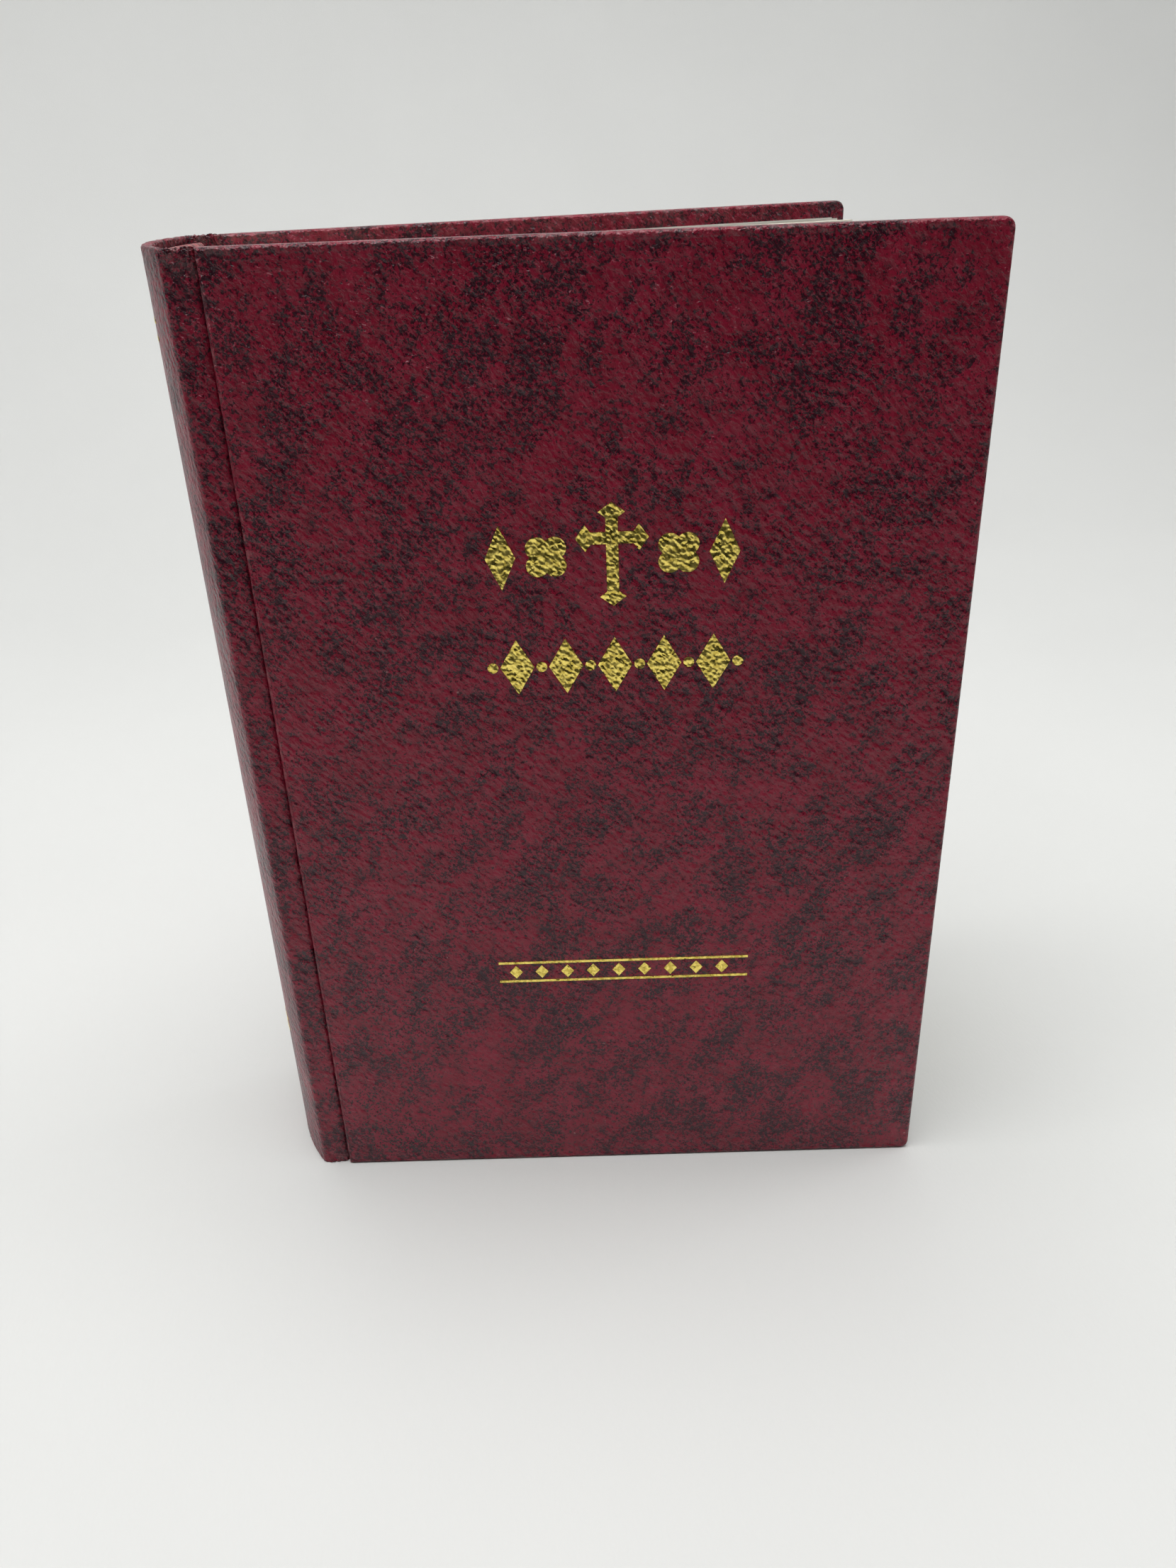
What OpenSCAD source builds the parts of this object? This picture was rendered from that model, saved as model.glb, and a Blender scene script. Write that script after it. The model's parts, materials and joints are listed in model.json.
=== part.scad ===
// A thick case-bound devotional book. It stands on its tail edges with both covers ajar.
// X runs from the spine to the fore-edge, the front cover faces -Y and Z is up.
// The origin is on the floor, in the middle of the book's bounding box.

/* [Covers] */
// Height of the covers, from tail edge to head edge
book_h = 216; // [150:1:320]
// Width of a covered board, from its joint edge to its fore-edge
board_w = 143; // [110:1:230]
// Thickness of the grey board inside each cover
board_t = 2.6; // [1.6:0.1:4]
// Thickness of the leatherette covering
cloth_t = 0.5; // [0.3:0.05:0.7]
// Width of the covering turned in over a board's inner face
turn_in_w = 15; // [8:0.5:20]
// Rounding of the covers' fore-edge corners
corner_r = 2; // [1:0.25:5]
// How far the covers stand out past the leaves
square_w = 3.5; // [2:0.25:6]

/* [Cover joints] */
// Width of the pressed groove between the spine and a board
joint_w = 6.5; // [5:0.25:9]
// Depth of the groove below the board's face
joint_d = 2.7; // [2:0.1:3]
// Depth of the hinge line below the board's face
hinge_d = 1; // [0.8:0.1:1.3]
// Angle at which each cover stands ajar
splay = 9.2; // [4:0.1:16]
// Angle of a cover from shut to fully open
open_max = 155; // [90:1:155]

/* [Spine] */
// How far the spine bulges out behind the joints
spine_round = 5.5; // [4.5:0.5:12]
// How far the spine's shoulders lie below the board's faces
shoulder_d = 1.1; // [0.8:0.1:2]
// Thickness of the card inlay under the spine covering
inlay_t = 0.9; // [0.5:0.1:1.4]
// Open space between the inlay and the lining of the leaves
hollow_t = 0.9; // [0.8:0.1:2]
// Thickness of the kraft paper lining
lining_t = 0.4; // [0.2:0.05:0.8]
// Thickness of the open-weave mull glued over the folds
mull_t = 0.3; // [0.2:0.05:0.6]
// Thickness of the sewing thread across the folds
thread_t = 0.35; // [0.2:0.05:0.6]
// Width of each row of sewing thread
thread_w = 1.2; // [0.6:0.1:3]
// Diameter of the headband and tailband beads
band_d = 2.2; // [1.4:0.1:3]
// Height of the band's skirt glued down behind the leaves
band_skirt_h = 8; // [5:0.5:14]

/* [Leaves] */
// Thickness of one sewn section of leaves
section_t = 1; // [0.8:0.05:1.4]
// Clearance between neighbouring sections
section_gap = 0.1; // [0.08:0.01:0.2]
// Thickness of the endpapers
endpaper_t = 0.2; // [0.15:0.05:0.4]
// Distance from the hinge line to the fold of the free endpaper
gutter_w = 8; // [7:0.5:14]
// Free play beside each fold that turns
fold_gap = 0.2; // [0.2:0.05:0.5]

/* [Gold ornament] */
// Thickness of the gold foil
foil_t = 0.08; // [0.05:0.01:0.2]
// Height of the cross on the front cover
cross_h = 17; // [10:0.5:24]
// Distance from the head edge down to the row with the cross
cross_drop = 57.5; // [20:0.5:70]
// Distance from the head edge down to the chain of lozenges
chain_drop = 80.5; // [40:0.5:100]
// Distance from the tail edge up to the lower border
border_rise = 59; // [15:0.5:60]
// Length of the lower border
border_w = 58; // [30:1:80]
// Width of the gold rules across the spine
rule_w = 20; // [12:1:28]
// Distance between the two rules of a pair
rule_pitch = 3.2; // [2:0.1:6]
// Distance from the head edge down to the upper pair of rules
head_rule_drop = 14.5; // [8:0.5:30]
// Distance from the tail edge up to the lower pair of rules
tail_rule_rise = 37.5; // [28:0.5:50]
// Distance from the tail edge up to the small mark at the foot
mark_rise = 24; // [10:0.5:30]
// Distance between the lozenges along the spine
spine_pitch = 17; // [10:0.5:24]

/* [Hidden] */
$fn = 96;
front = -1;
back = 1;

// The leaves: sections are counted from 1 at the front cover
section_count = 32;
per_bundle = 2;
bundle_count = 3;
// How far the free endpaper and each bundle turn, as shares of the cover's angle
turn_share = [0.9, 0.6, 0.4, 0.2];
section_pitch = section_t + section_gap;
leaves_half = (section_count - 1) * section_pitch / 2 + section_t / 2;
leaf_h = book_h - 2 * square_w;

// Levels through a shut cover, measured outwards from the middle of the leaves
paste_y = leaves_half + 2 * section_gap + endpaper_t;
turn_in_y = paste_y + endpaper_t;
board_y = turn_in_y + cloth_t;
cloth_y = board_y + board_t;
outer_y = cloth_y + cloth_t;
hinge_y = outer_y - hinge_d;
groove_y = outer_y - joint_d;

// Ends of a shut board along X, with the hinge line at zero
joint_x = joint_w / 2;
fore_x = joint_x + board_w;

// Radii of the layers of the rounded spine, all about one centre
shoulder_y = outer_y - shoulder_d;
spine_r = (pow(shoulder_y, 2) + pow(spine_round, 2)) / (2 * spine_round);
spine_x = spine_r - joint_x - spine_round;
inlay_r = spine_r - cloth_t;
hollow_r = inlay_r - inlay_t;
lining_r = hollow_r - hollow_t;
mull_r = lining_r - lining_t;
thread_r = mull_r - mull_t;
fold_r = thread_r - thread_t;

// Sewing stations and the ends of the linings
thread_rows = 5;
thread_margin = square_w + band_skirt_h + 8;
mull_margin = square_w + band_skirt_h + 1;
lining_margin = square_w + band_skirt_h / 2;

// A hair of play keeps touching curved layers apart
play = 0.05;
past = 1;

// The hinge line stands at X = 0 before this shift centres the bounding box
x_low = -joint_x - spine_round - foil_t;
x_high = fore_x * cos(splay) + (hinge_y - turn_in_y) * sin(splay);
x_shift = -(x_low + x_high) / 2;

cloth_colour = [0.36, 0.07, 0.11];
board_colour = [0.55, 0.52, 0.47];
paper_colour = [0.93, 0.91, 0.85];
leaf_colour = [0.9, 0.87, 0.78];
gold_colour = [0.83, 0.66, 0.32];
mull_colour = [0.85, 0.82, 0.74];
kraft_colour = [0.66, 0.52, 0.36];
band_colour = [0.75, 0.7, 0.6];

function section_name(i) = str("section_", i < 10 ? "0" : "", i);

// ---- Where things are ----

// Middle of the n-th section from the outside, as a distance from the middle of the leaves
function section_y(n) = ((section_count + 1) / 2 - n) * section_pitch;

// Back fold and fore-edge of the n-th section from the outside
function fold_x(n) = spine_x - section_t / 2
    - sqrt(pow(fold_r - section_t / 2 - play, 2) - pow(section_y(n), 2));
section_w = fore_x - square_w - fold_x(1);

// The fold line of bundle k, with the free endpaper as bundle 0
function turn_y(k) = k == 0 ? leaves_half + section_gap + endpaper_t
    : leaves_half - (k - 1) * per_bundle * section_pitch;
function turn_t(k) = k == 0 ? endpaper_t : per_bundle * section_pitch - section_gap;
function turn_x(k) = k == 0 ? gutter_w
    : turn_x(k - 1) + 1.5 * fold_gap
      + (turn_t(k - 1) + section_gap) * tan(open_max * turn_share[k] / 2);

// A point of the shut front cover, moved to where the cover stands ajar
function ajar(p) = [
    p[0] * cos(splay) + (p[1] + hinge_y) * sin(splay),
    -p[0] * sin(splay) + (p[1] + hinge_y) * cos(splay) - hinge_y
];

// ---- Building helpers: everything is drawn for the front and mirrored for the back ----

module on_side(side) {
    translate([x_shift, 0, 0])
        if (side == back) mirror([0, 1, 0]) children();
        else children();
}

module turned(angle, x, y) {
    translate([x, -y, 0]) rotate([0, 0, -angle]) translate([-x, y, 0]) children();
}

module cover(side) {
    on_side(side) turned(splay, 0, hinge_y) children();
}

// An upright slab between two levels, y_in nearer the leaves than y_out
module slab(x0, x1, y_in, y_out, z0, z1) {
    translate([x0, -y_out, z0]) cube([x1 - x0, y_out - y_in, z1 - z0]);
}

// The outline of a cover with its fore-edge corners rounded, as a slab
module rounded_slab(x0, x1, y_in, y_out, margin, r) {
    z0 = margin;
    z1 = book_h - margin;
    translate([0, -y_in, 0]) rotate([90, 0, 0]) linear_extrude(y_out - y_in) {
        translate([x0, z0]) square([x1 - r - x0, z1 - z0]);
        translate([x0, z0 + r]) square([x1 - x0, z1 - z0 - 2 * r]);
        for (z = [z0 + r, z1 - r]) translate([x1 - r, z]) circle(r);
    }
}

// A curved layer of the spine, cut off flat at x_end
module spine_layer(r, t, half_w, x_end, z0, z1) {
    intersection() {
        translate([spine_x, 0, z0]) difference() {
            cylinder(r = r, h = z1 - z0, $fn = 180);
            translate([0, 0, -past]) cylinder(r = r - t, h = z1 - z0 + 2 * past, $fn = 180);
        }
        translate([spine_x - spine_r - past, -half_w, z0])
            cube([x_end - spine_x + spine_r + past, 2 * half_w, z1 - z0]);
    }
}

// ---- Flat motifs of the gold ornament ----

module lozenge(w, h) {
    polygon([[-w / 2, 0], [0, -h / 2], [w / 2, 0], [0, h / 2]]);
}

module quatrefoil(d) {
    petal = d / 4;
    for (a = [45:90:315]) rotate(a) translate([petal * 1.1, 0]) circle(petal, $fn = 32);
    rotate(45) square(petal * 1.6, center = true);
}

module latin_cross(h, w, t) {
    square([t, h], center = true);
    translate([0, h / 5]) square([w, t], center = true);
    for (x = [-w / 2, w / 2]) translate([x, h / 5]) lozenge(t * 1.6, t * 2.2);
    for (y = [-h / 2, h / 2]) translate([0, y]) lozenge(t * 2.2, t * 1.6);
}

// Draws flat motifs as foil on the front cover, about a point of its face
module cover_foil(z) {
    color(gold_colour) cover(front)
        translate([joint_x + board_w / 2, -outer_y, z]) rotate([90, 0, 0])
            linear_extrude(foil_t) children();
}

// ---- Covers ----

module board(side) {
    color(board_colour) cover(side)
        rounded_slab(joint_x, fore_x - cloth_t, board_y, cloth_y, cloth_t, corner_r - cloth_t);
}

module cover_cloth(side) {
    color(cloth_colour) cover(side) difference() {
        rounded_slab(joint_x, fore_x, turn_in_y, outer_y, 0, corner_r);
        rounded_slab(joint_x - past, fore_x - cloth_t, board_y, cloth_y, cloth_t,
            corner_r - cloth_t);
        slab(joint_x - past, fore_x - turn_in_w, turn_in_y - past, board_y + past,
            turn_in_w, book_h - turn_in_w);
    }
}

// The pastedown lies over the turn-ins, on an infill that makes up their thickness
module pastedown(side) {
    color(paper_colour) cover(side) {
        slab(joint_x, fore_x - square_w, paste_y, turn_in_y, square_w, book_h - square_w);
        slab(joint_x, fore_x - turn_in_w, paste_y, board_y, turn_in_w, book_h - turn_in_w);
    }
}

module front_board() { board(front); }
module back_board() { board(back); }
module front_cover_cloth() { cover_cloth(front); }
module back_cover_cloth() { cover_cloth(back); }
module front_pastedown() { pastedown(front); }
module back_pastedown() { pastedown(back); }

module front_cross_foil() {
    cover_foil(book_h - cross_drop) {
        latin_cross(cross_h, cross_h * 0.62, 2.4);
        for (s = [-1, 1]) {
            translate([s * 13, 0]) quatrefoil(9);
            translate([s * 22, 0]) lozenge(6, 13);
        }
    }
    cover_foil(book_h - chain_drop) {
        for (x = [-20:10:20]) translate([x, 0]) lozenge(7, 12);
        for (x = [-25:10:25]) translate([x, 0]) circle(1.1, $fn = 24);
    }
}

module front_border_foil() {
    cover_foil(border_rise) {
        for (s = [-1, 1]) translate([0, s * 2.6]) square([border_w, 0.6], center = true);
        for (x = [-border_w / 2 + 4:6:border_w / 2 - 3]) translate([x, 0]) lozenge(3, 3.6);
    }
}

// ---- Cloth and paper that bend in the joints ----

// The covering dips into the groove, from the spine's shoulder to the board's edge
module joint_cloth(side) {
    slope = 0.9;
    inner_slope = 0.6;
    drop = 0.1;
    lift = 0.3;
    outside = [
        [-joint_x + play, -shoulder_y + drop],
        [-joint_x + slope, -groove_y],
        ajar([joint_x - slope, -groove_y]),
        ajar([joint_x - play, -outer_y + drop])
    ];
    inside = [
        ajar([joint_x - play, -outer_y + drop + 2 * cloth_t]),
        ajar([joint_x - inner_slope, -groove_y + cloth_t]),
        [-joint_x + inner_slope, -groove_y + cloth_t],
        [-joint_x + play, -shoulder_y + drop + 2 * cloth_t]
    ];
    color(cloth_colour) on_side(side) translate([0, 0, lift])
        linear_extrude(book_h - 2 * lift) polygon(concat(outside, inside));
}

// The endpaper's fold: its stub on the leaves, and the strip that crosses to the board
module endpaper_hinge(side) {
    fold = -1.5;
    stub_y = leaves_half + section_gap;
    board_edge = ajar([joint_x, -paste_y]) - [2 * play, 0];
    color(paper_colour) on_side(side) {
        slab(fold, turn_x(0) - fold_gap, stub_y, stub_y + endpaper_t, square_w,
            book_h - square_w);
        slab(fold - endpaper_t, fold, stub_y, paste_y + endpaper_t, square_w,
            book_h - square_w);
        translate([0, 0, square_w]) linear_extrude(leaf_h) polygon([
            [fold, -paste_y], board_edge,
            board_edge - [0, endpaper_t], [fold, -paste_y - endpaper_t]
        ]);
    }
}

module front_joint_cloth() { joint_cloth(front); }
module back_joint_cloth() { joint_cloth(back); }
module front_endpaper_hinge() { endpaper_hinge(front); }
module back_endpaper_hinge() { endpaper_hinge(back); }

// ---- Spine ----

module spine_inlay() {
    color(board_colour) on_side(front)
        spine_layer(inlay_r, inlay_t, shoulder_y, -joint_x - cloth_t, cloth_t, book_h - cloth_t);
}

// The covering wraps the inlay's ends and is turned in behind it at head and tail
module spine_cloth() {
    wrap_t = 2 * cloth_t + inlay_t;
    color(cloth_colour) on_side(front) difference() {
        spine_layer(spine_r, wrap_t, shoulder_y, -joint_x, 0, book_h);
        spine_layer(inlay_r, inlay_t, shoulder_y, -joint_x - cloth_t, cloth_t, book_h - cloth_t);
        spine_layer(hollow_r, cloth_t + past, shoulder_y + past, -joint_x + past, turn_in_w,
            book_h - turn_in_w);
    }
}

// Foil laid on the curve of the spine, between two heights
module spine_band(half_w, z0, z1) {
    spine_layer(spine_r + foil_t, foil_t, half_w, -joint_x, z0, z1);
}

// A flat motif carried onto the curve of the spine
module on_spine(z) {
    intersection() {
        spine_band(rule_w / 2, z - spine_pitch / 2, z + spine_pitch / 2);
        translate([-joint_x, 0, z]) rotate([0, -90, 0])
            linear_extrude(spine_round + past) children();
    }
}

module spine_foil() {
    rule_h = 0.8;
    lozenge_h = 9;
    chain_low = tail_rule_rise + spine_pitch;
    chain_high = book_h - head_rule_drop - spine_pitch;
    color(gold_colour) on_side(front) {
        for (z = [tail_rule_rise, book_h - head_rule_drop], s = [-1, 1])
            spine_band(rule_w / 2, z + s * rule_pitch / 2 - rule_h / 2,
                z + s * rule_pitch / 2 + rule_h / 2);
        for (z = [chain_low:spine_pitch:chain_high]) on_spine(z) lozenge(lozenge_h, 6);
        on_spine(mark_rise) lozenge(4, 3);
    }
}

module spine_lining() {
    color(kraft_colour) on_side(front)
        spine_layer(lining_r, lining_t, leaves_half - section_t, 0, lining_margin,
            book_h - lining_margin);
}

module mull() {
    color(mull_colour) on_side(front)
        spine_layer(mull_r - play, mull_t - play, leaves_half, 0, mull_margin,
            book_h - mull_margin);
}

module sewing_thread() {
    step = (book_h - 2 * thread_margin) / (thread_rows - 1);
    color(mull_colour) on_side(front)
        for (z = [thread_margin:step:book_h - thread_margin])
            spine_layer(thread_r - play, thread_t - play, leaves_half - section_t, 0,
                z - thread_w / 2, z + thread_w / 2);
}

// A rolled bead over the ends of the folds, on a skirt glued behind them
module band(z, up) {
    bead_z = z + up * (band_d / 2 + play);
    skirt_z = z - up * band_skirt_h;
    color(band_colour) on_side(front) {
        intersection() {
            translate([spine_x, 0, bead_z]) rotate_extrude($fn = 180)
                translate([mull_r - play - band_d / 2, 0]) circle(band_d / 2, $fn = 32);
            translate([spine_x - spine_r, -leaves_half, z - 2 * band_d])
                cube([spine_r - spine_x, 2 * leaves_half, 4 * band_d]);
        }
        spine_layer(mull_r - play, mull_t - play, leaves_half, 0, min(bead_z, skirt_z),
            max(bead_z, skirt_z));
    }
}

module headband() { band(book_h - square_w, 1); }
module tailband() { band(square_w, -1); }

// ---- Leaves ----

// One section between its back fold and x1, upright in its place
module folded_section(n, x1) {
    x0 = fold_x(n) + section_t / 2;
    translate([0, -section_y(n), square_w]) linear_extrude(leaf_h) {
        translate([x0, -section_t / 2]) square([x1 - x0, section_t]);
        translate([x0, 0]) circle(section_t / 2, $fn = 32);
    }
}

// The part of a section that turns with its bundle
module turning_section(n, k) {
    y = section_y(n);
    turned(splay * turn_share[k], turn_x(k), turn_y(k))
        slab(turn_x(k) + fold_gap, fold_x(n) + section_w, y - section_t / 2,
            y + section_t / 2, square_w, book_h - square_w);
}

module section(i) {
    n = min(i, section_count + 1 - i);
    k = ceil(n / per_bundle);
    color(leaf_colour) on_side(i <= section_count / 2 ? front : back)
        if (k > bundle_count) folded_section(n, fold_x(n) + section_w);
        else turning_section(n, k);
}

// The sewn folds of the sections that turn, which stay with the spine
module folds(side) {
    color(leaf_colour) on_side(side)
        for (n = [1:per_bundle * bundle_count])
            folded_section(n, turn_x(ceil(n / per_bundle)) - fold_gap);
}

module flyleaf(side) {
    color(paper_colour) on_side(side)
        turned(splay * turn_share[0], turn_x(0), turn_y(0))
            slab(turn_x(0) + fold_gap, fore_x - square_w, turn_y(0) - endpaper_t, turn_y(0),
                square_w, book_h - square_w);
}

module front_flyleaf() { flyleaf(front); }
module back_flyleaf() { flyleaf(back); }
module front_folds() { folds(front); }
module back_folds() { folds(back); }

front_board();
front_cover_cloth();
front_pastedown();
front_cross_foil();
front_border_foil();
back_board();
back_cover_cloth();
back_pastedown();
spine_inlay();
spine_cloth();
spine_foil();
front_joint_cloth();
back_joint_cloth();
front_endpaper_hinge();
back_endpaper_hinge();
front_flyleaf();
back_flyleaf();
mull();
spine_lining();
headband();
tailband();
sewing_thread();
front_folds();
back_folds();
for (i = [1:section_count]) section(i);
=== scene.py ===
"""Finishes a thick case-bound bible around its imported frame: covering, spine, joints, leaves and gold."""

import json
import math
import random

import bmesh
import bpy
from bpy.props import FloatProperty, FloatVectorProperty, IntProperty, PointerProperty
from mathutils import Matrix, Vector

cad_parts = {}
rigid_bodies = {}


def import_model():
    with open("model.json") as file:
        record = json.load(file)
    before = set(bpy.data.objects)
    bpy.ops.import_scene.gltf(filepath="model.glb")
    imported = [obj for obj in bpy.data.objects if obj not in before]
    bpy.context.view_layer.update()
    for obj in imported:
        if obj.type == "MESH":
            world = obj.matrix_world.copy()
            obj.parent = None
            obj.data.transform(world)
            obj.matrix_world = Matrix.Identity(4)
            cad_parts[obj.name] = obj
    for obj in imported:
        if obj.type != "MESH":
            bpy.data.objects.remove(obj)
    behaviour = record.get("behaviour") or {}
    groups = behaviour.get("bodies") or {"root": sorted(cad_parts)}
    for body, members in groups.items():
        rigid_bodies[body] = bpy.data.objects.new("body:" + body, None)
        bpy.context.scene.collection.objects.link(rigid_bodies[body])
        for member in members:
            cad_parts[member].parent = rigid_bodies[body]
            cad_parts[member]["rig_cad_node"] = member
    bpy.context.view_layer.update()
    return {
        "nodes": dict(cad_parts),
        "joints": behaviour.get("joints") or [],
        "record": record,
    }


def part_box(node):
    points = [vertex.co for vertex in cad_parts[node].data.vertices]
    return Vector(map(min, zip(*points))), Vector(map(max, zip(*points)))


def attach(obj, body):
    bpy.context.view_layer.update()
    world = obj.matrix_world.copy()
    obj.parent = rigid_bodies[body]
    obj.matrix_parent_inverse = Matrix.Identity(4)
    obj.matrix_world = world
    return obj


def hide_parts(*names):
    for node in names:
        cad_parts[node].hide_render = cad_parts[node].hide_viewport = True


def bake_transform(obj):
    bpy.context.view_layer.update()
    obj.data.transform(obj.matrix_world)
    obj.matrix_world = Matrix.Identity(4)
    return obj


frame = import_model()

bl_info = {
    "name": "Hardcover Bible",
    "version": (1, 0, 0),
    "blender": (4, 5, 0),
    "location": "View3D > Sidebar > Bible",
    "description": "Models and finishes a thick hardcover bible around its frame",
    "category": "Object",
}

MM = 0.001
NEAR = 1e-6

# Fine sizes of the covering and the pastedowns
WEAR_STRIPS = (1.5 * MM, 5 * MM)  # where a cover's face is divided beside its edges
RUB_W = 1.4 * MM  # how far in from the edges a cover is rubbed
JOINT_SIDE_REST = 4 * MM  # how much further the joint edge is from being rubbed
MITRE_W = 0.22 * MM  # width of the crease in a turn-in's corner
MITRE_D = 0.14 * MM  # depth of that crease
STEP_W = 0.8 * MM  # width of the step where the turn-ins show through a pastedown
STEP_D = 0.13 * MM  # depth of that step
WINDOW_GAP = 0.5 * MM  # free space between a pastedown's raised back and the turn-ins
PUCKER_H = 9 * MM  # height of the wrinkled zone at head and tail
PUCKER_REST = 0.4 * MM  # distance from a side end within which nothing is wrinkled
JOINT_LIFT = 0.08 * MM  # how much shorter the joint's covering is at head and tail

# Fine sizes of the headbands
BEAD_R = 1.1 * MM
BEAD_REST = 0.2 * MM  # distance of the bead's ends from the skirt's
BEAD_RIDGE = 0.09 * MM  # height of the wound thread's ridges
SKIRT_IN = 0.15 * MM  # how far the skirt lies inside the bead's back
SKIRT_T = 0.22 * MM

# The studio
FLOOR_FRONT = -0.38
FLOOR_BACK = 0.8
FLOOR_RISE = 0.62
FLOOR_W = 2.0
SWEEP_R = 0.4
LENS = 27.667
CAMERA_PLACE = (33.932, -259.389, 228.662)  # in millimetres, from the hinge line's foot
CAMERA_TURNS = (-8.344, -27.747, -2.266)  # heading, tilt and roll in degrees


# ---- Sizes that come from the frame: everything is drawn for the front cover's side, which faces -Y ----


def about(centre, angle):
    """The matrix that turns a thing about an upright line."""
    return Matrix.Translation(centre) @ Matrix.Rotation(angle, 4, "Z") @ Matrix.Translation(-centre)


def box_of(points):
    """The lowest and highest corners of some points."""
    low = Vector([min(p[k] for p in points) for k in range(3)])
    high = Vector([max(p[k] for p in points) for k in range(3)])
    return low, high


def circle_through(crown, shoulder):
    """Where on the X axis the centre of a circle through two points is, and its radius."""
    square = shoulder.x ** 2 + shoulder.y ** 2 - crown.x ** 2 - crown.y ** 2
    centre = square / (2 * (shoulder.x - crown.x))
    return centre, math.hypot(crown.x - centre, crown.y)


def unturned_box(name, centre, angle):
    """The box of a node as it was before it was turned about an upright line."""
    back = about(centre, -angle)
    return box_of([back @ v.co for v in frame["nodes"][name].data.vertices])


JOINTS = {joint["name"]: joint for joint in frame["joints"]}
SHARES = {c["joint"]: c["ratio"] for c in frame["record"]["behaviour"]["couplings"]}
HINGE = Vector(JOINTS["front_cover_hinge"]["pos_m"])
SPLAY = math.radians(-JOINTS["front_cover_hinge"]["range_deg"][0])
COVER_LOW, COVER_HIGH = unturned_box("front_cover_cloth", HINGE, -SPLAY)
BOARD_LOW, BOARD_HIGH = unturned_box("front_board", HINGE, -SPLAY)
PASTE_LOW, PASTE_HIGH = unturned_box("front_pastedown", HINGE, -SPLAY)
SPINE_LOW, SPINE_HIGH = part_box("spine_cloth")
CLOTH_T = BOARD_LOW.y - COVER_LOW.y
SQUARE = PASTE_LOW.z
PAPER_T = PASTE_HIGH.y - COVER_HIGH.y
SPINE_POINTS = [v.co for v in frame["nodes"]["spine_cloth"].data.vertices]
CROWN = min(SPINE_POINTS, key=lambda p: p.x)
SHOULDER = max((p for p in SPINE_POINTS if p.x > SPINE_HIGH.x - NEAR), key=lambda p: p.y)
SPINE_X, SPINE_R = circle_through(CROWN, SHOULDER)
INLAY_RADII = [math.hypot(v.co.x - SPINE_X, v.co.y) for v in frame["nodes"]["spine_inlay"].data.vertices]
INLAY_T = max(INLAY_RADII) - min(INLAY_RADII)
SECTIONS = sorted(name for name in frame["nodes"] if name.startswith("section_"))
FIXED = [name for name in SECTIONS if name in frame["record"]["behaviour"]["bodies"]["text_block"]]
SECTION_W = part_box(FIXED[0])[1].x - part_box(FIXED[0])[0].x


# ---- Handling: selecting, entering and leaving edit mode, placing and finishing ----


def begin():
    """Leaves edit mode and deselects everything."""
    if bpy.context.mode != "OBJECT":
        bpy.ops.object.mode_set(mode="OBJECT")
    bpy.ops.object.select_all(action="DESELECT")


def pick(obj):
    """Makes one object the selected and active one."""
    begin()
    obj.select_set(True)
    bpy.context.view_layer.objects.active = obj


def edit(obj):
    """Opens one object in edit mode."""
    pick(obj)
    bpy.ops.object.mode_set(mode="EDIT")


def named(name):
    """Names the object that was just added."""
    obj = bpy.context.object
    obj.name = name
    obj.data.name = name
    return obj


def choose(obj, kind, test):
    """Selects just the faces, edges or points of the object in edit mode that pass a test."""
    bpy.ops.mesh.select_mode(type=kind)
    bpy.ops.mesh.select_all(action="DESELECT")
    mesh = bmesh.from_edit_mesh(obj.data)
    parts = {"FACE": mesh.faces, "EDGE": mesh.edges, "VERT": mesh.verts}[kind]
    for part in parts:
        if test(part):
            part.select_set(True)
    mesh.select_flush_mode()
    bmesh.update_edit_mesh(obj.data)


def middle(edge):
    """The middle of an edge."""
    return (edge.verts[0].co + edge.verts[1].co) / 2


def runs_along(edge, axis):
    """Whether an edge runs along one axis."""
    way = (edge.verts[1].co - edge.verts[0].co).normalized()
    return abs(way[axis]) > 0.999


def in_plane(part, axis, place):
    """Whether all points of an edge or face lie at one place along an axis."""
    return all(abs(v.co[axis] - place) < 0.01 * MM for v in part.verts)


def add_block(name, low, high):
    """A block between two corners, with its place in its mesh."""
    begin()
    bpy.ops.mesh.primitive_cube_add(size=1, location=(low + high) / 2, scale=high - low)
    obj = named(name)
    bpy.ops.object.transform_apply(location=True, rotation=True, scale=True)
    return obj


def apply_modifier(obj, kind, **settings):
    """Adds a modifier, sets it and applies it."""
    pick(obj)
    modifier = obj.modifiers.new(kind.title(), kind)
    for key, value in settings.items():
        setattr(modifier, key, value)
    bpy.ops.object.modifier_apply(modifier=modifier.name)


def smooth(obj, angle=35):
    """Shades an object smooth, keeping corners sharper than an angle in degrees."""
    pick(obj)
    bpy.ops.object.shade_smooth_by_angle(angle=math.radians(angle))


def recalculate(obj):
    """Turns all faces outwards."""
    edit(obj)
    bpy.ops.mesh.select_all(action="SELECT")
    bpy.ops.mesh.normals_make_consistent(inside=False)
    begin()


def placed(obj, matrix):
    """Moves an object by a matrix and keeps the new place in its mesh."""
    pick(obj)
    obj.matrix_world = matrix @ obj.matrix_world
    bpy.ops.object.transform_apply(location=True, rotation=True, scale=True)
    return obj


def copied(obj, name):
    """A copy of an object, with its own mesh."""
    pick(obj)
    bpy.ops.object.duplicate(linked=False)
    twin = named(name)
    twin.parent = None
    for key in [key for key in twin.keys() if key.startswith("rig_")]:
        del twin[key]
    return twin


def mirrored(obj, name):
    """A copy for the back cover's side."""
    twin = placed(copied(obj, name), Matrix.Scale(-1, 4, Vector((0, 1, 0))))
    recalculate(twin)
    return twin


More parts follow.
